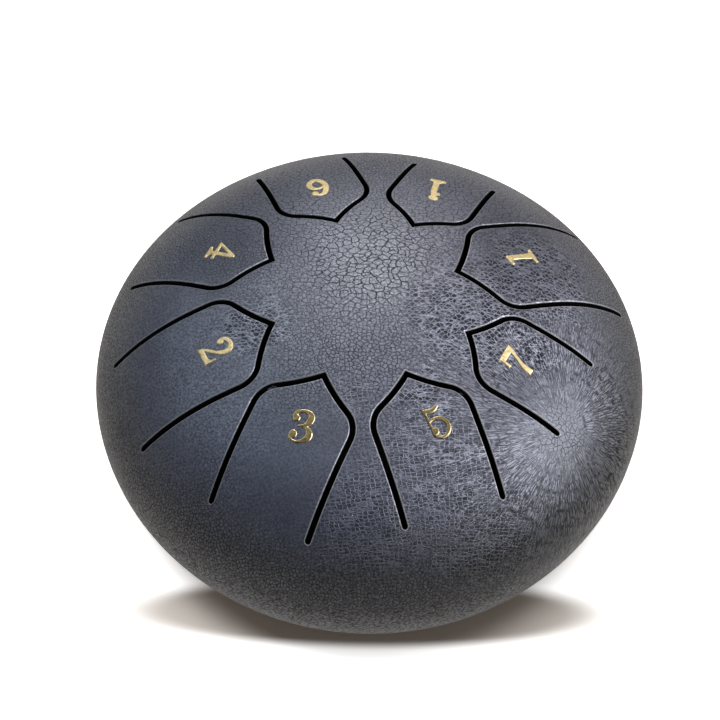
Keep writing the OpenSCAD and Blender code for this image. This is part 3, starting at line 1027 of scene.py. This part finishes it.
def coatMaterial(name, edge=None):
    material, shader, place = newMaterial(name)
    look = coatLook
    x, y, z = parted(place)
    cloud, patch = noisy(place, *look["cloud"]), noisy(place, *look["patch"])
    tone = cloud * look["cloudTone"] + patch * look["patchTone"] + look["evenTone"]
    rise = dips = 0.0
    # Each grain darkens its dips and lightens its tops, in colour and in specular level: its own
    # pattern, with painted shade in the creases and a painted sheen on the tops
    for key, (top, share) in coatLayers(place).items():
        low, high = coatGrain[key]["tones"]
        tone *= between(share, 1.0, top * (high - low) + low)
        rise += top * share * coatGrain[key]["depth"]
        dips = greater((1 - top) * share, dips)
    lower = eased(z, *look["sideShadeFade"], 1.0, 0.0)
    # Painted shade: darker and cooler on the left
    coolness = eased(x, *look["coolShadeFade"], 1.0, 0.0)
    colour = blended(coolness, (*look["sheet"], 1), (*look["coolShade"], 1))
    # Painted shade: darker colour and less gloss low down
    colour = scaled(blended(lower, colour, (*look["side"], 1)), tone)
    gloss = between(lower, look["gloss"], look["sideShadeGloss"])
    # Painted highlight: a paler, glossier cut edge, more on the right and less at the back
    if edge:
        share = (eased(x, *edge["shareFade"], *edge["share"])
                 * eased(y, *edge["backFade"], 1.0, edge["back"]))
        colour = blended(share, colour, (*edge["colour"], 1))
        gloss = greater(gloss, (1 - lower) * edge["gloss"])
    rough = dips * look["dipRoughness"] + patch * look["patchRoughness"]
    connect(shader, {
        "Base Color": colour,
        "Roughness": rough + (edge or look)["roughness"],
        "Normal": relief(rise, 1 * mm),
        "Specular IOR Level": tone * gloss,
        "Specular Tint": (*look["tint"], 1),
        "IOR": look["ior"],
    })
    return material


# The plain finishes: a mottle mixes two colours, and a fine grain shifts the roughness and
# gives the relief, which is in metres. A noise is its scale, detail and roughness.
def plainMaterial(name, look, light=1.0):
    material, shader, place = newMaterial(name)
    brushed = turnedPlace(place, *look["brush"]) if "brush" in look else place
    grain = noisy(brushed, *look["grain"])
    if "spangle" in look:
        given = {"Vector": place, "Scale": look["spangle"]}
        spangle = added("ShaderNodeTexVoronoi", given, "Color")
        mottle = added("ShaderNodeSeparateColor", {0: spangle})
    else:
        mottle = noisy(place, *look["mottle"])
    if "mottleFade" in look:
        mottle = eased(mottle, *look["mottleFade"])
    first, second = [(*(light * level for level in colour), 1) for colour in look["colours"]]
    connect(shader, {
        "Base Color": blended(mottle, first, second),
        "Roughness": eased(grain, *look["grainFade"], *look["roughness"]),
        "Normal": relief(grain, look["relief"]),
        **look.get("sockets", {}),
    })
    return material


# Cut steel and the unpainted inside, near black: painted shade, so that the slots and the
# sound hole read black
insideShadeLook = {
    "colours": ((0.0015, 0.0015, 0.0016), (0.004, 0.004, 0.0043)),
    "mottle": (1.6, 3.0), "grain": (1.6, 3.0), "grainFade": (0.2, 0.8),
    "roughness": (0.7, 0.9), "relief": 0.00002,
    "sockets": {"IOR": 1.3, "Specular IOR Level": 0.15},
}
# Pale gold sheet metal with a fine brushed grain. Two numerals have a darker gold, painted
# shade, with a polished rim.
goldLook = {
    "colours": ((0.75, 0.62, 0.345), (0.58, 0.44, 0.21)),
    "mottle": (1.3, 2.0), "mottleFade": (0.35, 0.7),
    "brush": (-34, (0.7, 6.0, 1.0)), "grain": (1.0, 3.0), "grainFade": (0.3, 0.7),
    "roughness": (0.42, 0.60), "relief": 0.000006,
    "sockets": {"Metallic": 1.0},
}
shadedGoldLook = {"colours": ((0.39, 0.30, 0.14), (0.23, 0.175, 0.07)), "roughness": (0.38, 0.56)}
rimLook = {"colours": ((0.66, 0.54, 0.31), (0.58, 0.45, 0.22)), "roughness": (0.22, 0.40)}
# Painted shade: the 3 and the 5 have darker gold, the 5 darker still
shadedNumerals = {"3": 1.0, "5": 0.62}  # how light the gold of each is
# Moulded rubber, with a dusty bloom and a fine mould texture
rubberLook = {
    "colours": ((0.012, 0.012, 0.013), (0.035, 0.034, 0.033)),
    "mottle": (0.35, 4.0, 0.6), "mottleFade": (0.4, 0.75),
    "grain": (4.5, 2.0), "grainFade": (0.3, 0.7),
    "roughness": (0.64, 0.82), "relief": 0.00004,
}
# Zinc-plated fasteners with faint turning marks; inside the drum they are dull, and dark as
# painted shade
zincLook = {
    "colours": ((0.56, 0.57, 0.58), (0.38, 0.385, 0.39)),
    "spangle": 1.4,
    "grain": (7.0, 3.0), "grainFade": (0.3, 0.7),
    "roughness": (0.24, 0.46), "relief": 0.00001,
    "sockets": {"Metallic": 1.0},
}
insideShadeZincLook = {
    "colours": ((0.03, 0.03, 0.031), (0.015, 0.015, 0.0155)),
    "roughness": (0.60, 0.82),
}

coat = coatMaterial("leatherGrainCoat")
coatEdgeHighlight = coatMaterial("coatOnCutEdgeWithPaintedHighlight", edgeHighlightLook)
dark = plainMaterial("steelInsidePaintedShade", insideShadeLook)
paleGold = plainMaterial("paleGold", goldLook)
rubber = plainMaterial("mouldedRubber", rubberLook)
zinc = plainMaterial("outsideZinc", zincLook)
insideShadeZinc = plainMaterial("insideZincPaintedShade", {**zincLook, **insideShadeZincLook})
print("materials made")

# The body's pieces
steel = [coat, dark, coatEdgeHighlight]
bodyMakers = {"upper_shell": makeUpperShell, "lower_shell": makeLowerShell,
              "seam_weld": makeSeamWeld}
for node, make in bodyMakers.items():
    piece = make(steel)
    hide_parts(node)
    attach(piece, "drum")
print("shells made")

for key, note in notes.items():
    tag = key.replace("high_1", "High1")
    tongue = makeTongue("tongue" + tag, note, steel)
    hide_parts("tongue_" + key)
    bendEnd = (numeralCut["ring"] * numeralPlaces[key]["ring"]
               + numeralCut["unbent"] * numeralCut["height"])
    ends = [turned([[u, 0]], note["angle"])[0] for u in (note["rootR"], bendEnd)]
    ends = [(*end, float(domeAt(np.hypot(*end))[0])) for end in ends]
    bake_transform(tongue)
    face = rim = paleGold
    # The 3 and the 5 get a darker gold, painted shade
    if key in shadedNumerals:
        face = plainMaterial("paintedShadeGold" + tag, {**goldLook, **shadedGoldLook}, shadedNumerals[key])
        rim = plainMaterial("rimGold" + tag, {**goldLook, **rimLook}, shadedNumerals[key])
    numeral = makeNumeral("numeral" + tag, key, [face, rim, rim])
    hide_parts("numeral_" + key)
    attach(numeral, "tongue_" + key)
print("tongues and numerals made")

fittings = {
    "foot_front": rubber, "foot_rear_right": rubber, "foot_rear_left": rubber,
    # the rivet nuts inside are near black: painted shade
    "foot_washers": zinc, "foot_screws": zinc, "foot_rivet_nuts": insideShadeZinc,
}
for node, material in fittings.items():
    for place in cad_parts[node].material_slots:
        place.material = material
print("fittings dressed")

# The photograph's viewing angle; the offsets are in the picture's own directions
viewing = {
    "elevation": 53.90,
    "distance": 0.465,
    "lens": 81.4,
    "sensor": 36,
    "clip": (0.01, 20),
    "roll": -0.70,
    "right": -2.7125 * mm,
    "up": 3.875 * mm,
    "aimHeight": 46.063 * mm,
}


def placeCamera():
    camera = placed("camera", bpy.data.cameras.new("camera"))
    bpy.context.scene.camera = camera
    camera.data.lens, camera.data.sensor_width = viewing["lens"], viewing["sensor"]
    camera.data.clip_start, camera.data.clip_end = viewing["clip"]
    lift, roll = math.radians(viewing["elevation"]), math.radians(viewing["roll"])
    back = Vector((0, -math.cos(lift), math.sin(lift)))
    right, up = Vector((1, 0, 0)), Vector((0, math.sin(lift), math.cos(lift)))
    spot = Vector((0, 0, viewing["aimHeight"])) + back * viewing["distance"]
    spot += right * viewing["right"] + up * viewing["up"]
    c, s = math.cos(roll), math.sin(roll)
    axes = Matrix((right * c - up * s, right * s + up * c, back)).transposed()
    camera.matrix_world = Matrix.Translation(spot) @ axes.to_4x4()


placeCamera()

# Soft lamps, each aimed at the drum; brightness is what the lamp's face shows. The overhead
# one lights the drum, and the others show only in its gloss.
lampAimHeight = 50 * mm
coolLight = (0.91, 0.94, 1.0)
lamps = {
    "overhead": {"turn": -13, "lift": 75, "away": 0.9, "wide": 0.42, "tall": 0.20, "bright": 24.0,
                 "diffuse": True},
    "backBox": {"turn": 178, "lift": 49, "away": 0.8, "wide": 0.32, "tall": 0.52, "bright": 6.1},
    "rightBox": {"turn": 82, "lift": 34, "away": 0.8, "wide": 0.56, "tall": 0.80, "bright": 6.4,
                 "colour": coolLight},
    "leftCard": {"turn": -113, "lift": 50, "away": 0.9, "wide": 0.80, "tall": 0.50, "bright": 1.4,
                 "colour": (0.80, 0.92, 1.0)},
    "edgeStrip": {"turn": 123, "lift": 24, "away": 0.8, "wide": 0.08, "tall": 0.44, "bright": 5.0,
                  "colour": coolLight},
}


# turn 0 is in front of the drum, 90 to its right, 180 behind it
def placeLamps():
    for name, lamp in lamps.items():
        turn, lift = math.radians(lamp["turn"]), math.radians(lamp["lift"])
        away = Vector((math.sin(turn) * math.cos(lift), -math.cos(turn) * math.cos(lift),
                       math.sin(lift)))
        data = bpy.data.lights.new(name, "AREA")
        data.shape = "RECTANGLE"
        data.size, data.size_y = lamp["wide"], lamp["tall"]
        data.energy = lamp["bright"] * math.pi * lamp["wide"] * lamp["tall"]
        data.color = lamp.get("colour", (1, 1, 1))
        made = placed(name, data)
        made.location = Vector((0, 0, lampAimHeight)) + away * lamp["away"]
        made.rotation_mode = "QUATERNION"
        made.rotation_quaternion = away.to_track_quat("Z", "Y")
        made.visible_diffuse = lamp.get("diffuse", False)
        made.visible_glossy = not made.visible_diffuse
        made.visible_camera = False


placeLamps()


# Which rays come from the camera, and which see the room mirrored or through glass
def rayKinds(tree):
    kinds = tree.nodes.new("ShaderNodeLightPath").outputs
    mirrored = greater(Level(kinds["Is Glossy Ray"]), Level(kinds["Is Transmission Ray"]))
    return Level(kinds["Is Camera Ray"]), mirrored


# White to the camera; white round the horizon and darker overhead to reflections; warm fill
roomLook = {
    "fill": 0.24,
    "warm": (1.0, 0.88, 0.76),
    "horizon": 1.0,
    "zenith": 0.04,
    "fade": (0.0, 0.16),
}


def paintRoom():
    world = bpy.data.worlds.new("room")
    bpy.context.scene.world = world
    world.use_nodes = True
    tree = world.node_tree
    tree.nodes.clear()
    fromCamera, mirrored = rayKinds(tree)
    rise = parted(placeOn(tree, "Generated"))[2]
    shade = eased(rise, *roomLook["fade"], roomLook["horizon"], roomLook["zenith"])
    seen = greater(fromCamera, mirrored)
    colour = blended(seen, (*roomLook["warm"], 1), (1, 1, 1, 1))
    level = greater(between(seen, roomLook["fill"], shade), fromCamera)
    paint = added("ShaderNodeBackground", {"Color": colour, "Strength": level})
    connect(tree.nodes.new("ShaderNodeOutputWorld"), {0: paint})


paintRoom()

# The camera's white is added outside the shadow: beyond a circle and beyond an ellipse in
# front, inside which the floor's colour is darker, a painted shadow. Places and fades are in
# millimetres, and the ellipse's fades are shares of its size.
floorLook = {
    "size": 40.0,  # metres
    "colour": (0.92, 0.89, 0.86),
    "shade": (0.72, 0.675, 0.635),
    "lift": 0.85,
    "reflected": 0.5,  # share of the lift that reflections see
    "circle": {"centre": (0, 12, 0), "fade": (66, 80)},
    "ellipse": {"centre": (0, -52, 0), "scale": (1 / 80, 1 / 12.5, 1), "fade": (0.70, 1.0),
                "paintedShadowFade": (0.72, 1.0)},
    # Near black under the drum: painted shadow
    "under": (0.04, 0.04, 0.04),
    "underFade": (36, 54),
}


def layFloor():
    half, look = floorLook["size"] / 2, floorLook
    material, shader, place = newMaterial("paleFloor")
    fromCamera, mirrored = rayKinds(shader.id_data)
    circle, oval = look["circle"], look["ellipse"]
    shaped = moved("MULTIPLY", moved("SUBTRACT", place, oval["centre"]), oval["scale"])
    shaped = measured("LENGTH", shaped)
    lift = (eased(measured("DISTANCE", place, circle["centre"]), *circle["fade"])
            * eased(shaped, *oval["fade"]) * look["lift"])
    # Painted shadow: darker floor colour inside the ellipse
    colour = blended(eased(shaped, *oval["paintedShadowFade"]), (*look["shade"], 1), (*look["colour"], 1))
    # Painted shadow: near black floor under the drum
    beyond = eased(measured("LENGTH", place), *look["underFade"])
    connect(shader, {
        "Base Color": blended(beyond, (*look["under"], 1), colour),
        "Roughness": 1.0,
        "Specular IOR Level": 0.0,
        "Emission Color": (1, 1, 1, 1),
        "Emission Strength": greater(fromCamera, mirrored * look["reflected"]) * lift,
    })
    corners = [(-half, -half, 0), (half, -half, 0), (half, half, 0), (-half, half, 0)]
    floor = newObject("floor", corners, [(0, 1, 2, 3)], [material], [0])


layFloor()
bpy.context.scene.view_settings.view_transform = "Standard"
print("camera, lamps and floor placed")
